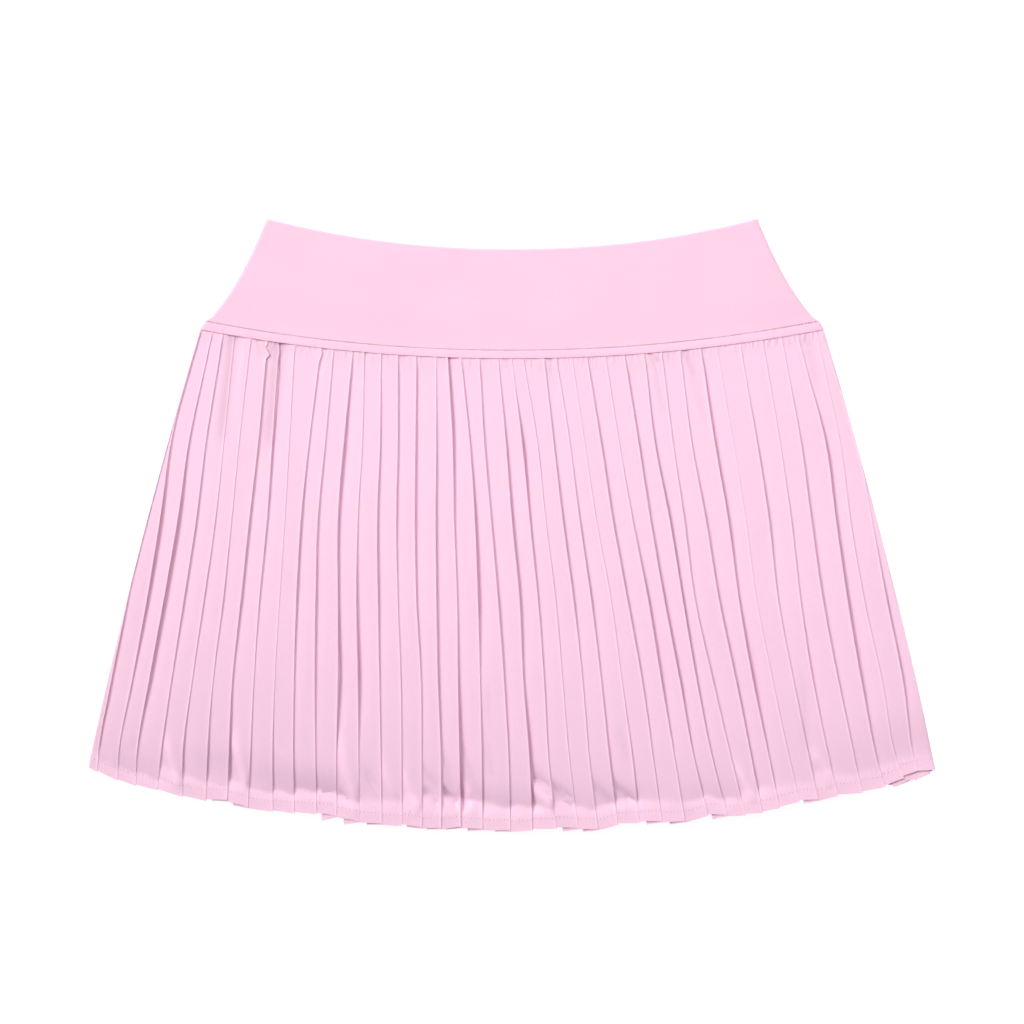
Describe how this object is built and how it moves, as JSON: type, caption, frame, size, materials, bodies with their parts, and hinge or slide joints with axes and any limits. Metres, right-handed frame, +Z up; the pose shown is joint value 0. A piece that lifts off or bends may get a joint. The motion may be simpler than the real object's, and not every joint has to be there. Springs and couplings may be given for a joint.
{
  "type": "pleated skort",
  "caption": "Pull-on sports skort laid flat: wide stretch waistband with a curved top edge over a flared knife-pleated skirt, with short inner shorts between its layers.",
  "frame": {"origin": "middle of the garment's outline seen from above, on the surface that it lies on", "axes": "+X to the right across the front as seen from above, +Y from the hem towards the waist, +Z up from the surface, out of the front of the garment"},
  "size_m": [0.5512, 0.3984, 0.0101],
  "materials": {
    "waistband_jersey": "matte smooth stretch jersey, pale pink",
    "skirt_cloth": "matte smooth close-woven polyester, heat-set pleats, pale pink",
    "shorts_jersey": "matte stretch jersey, pale pink"
  },
  "bodies": {
    "root": {"waistband_front": "waistband_jersey", "waistband_back": "waistband_jersey", "skirt_front": "skirt_cloth", "skirt_back": "skirt_cloth", "shorts_front": "shorts_jersey", "shorts_back": "shorts_jersey"}
  },
  "joints": []
}
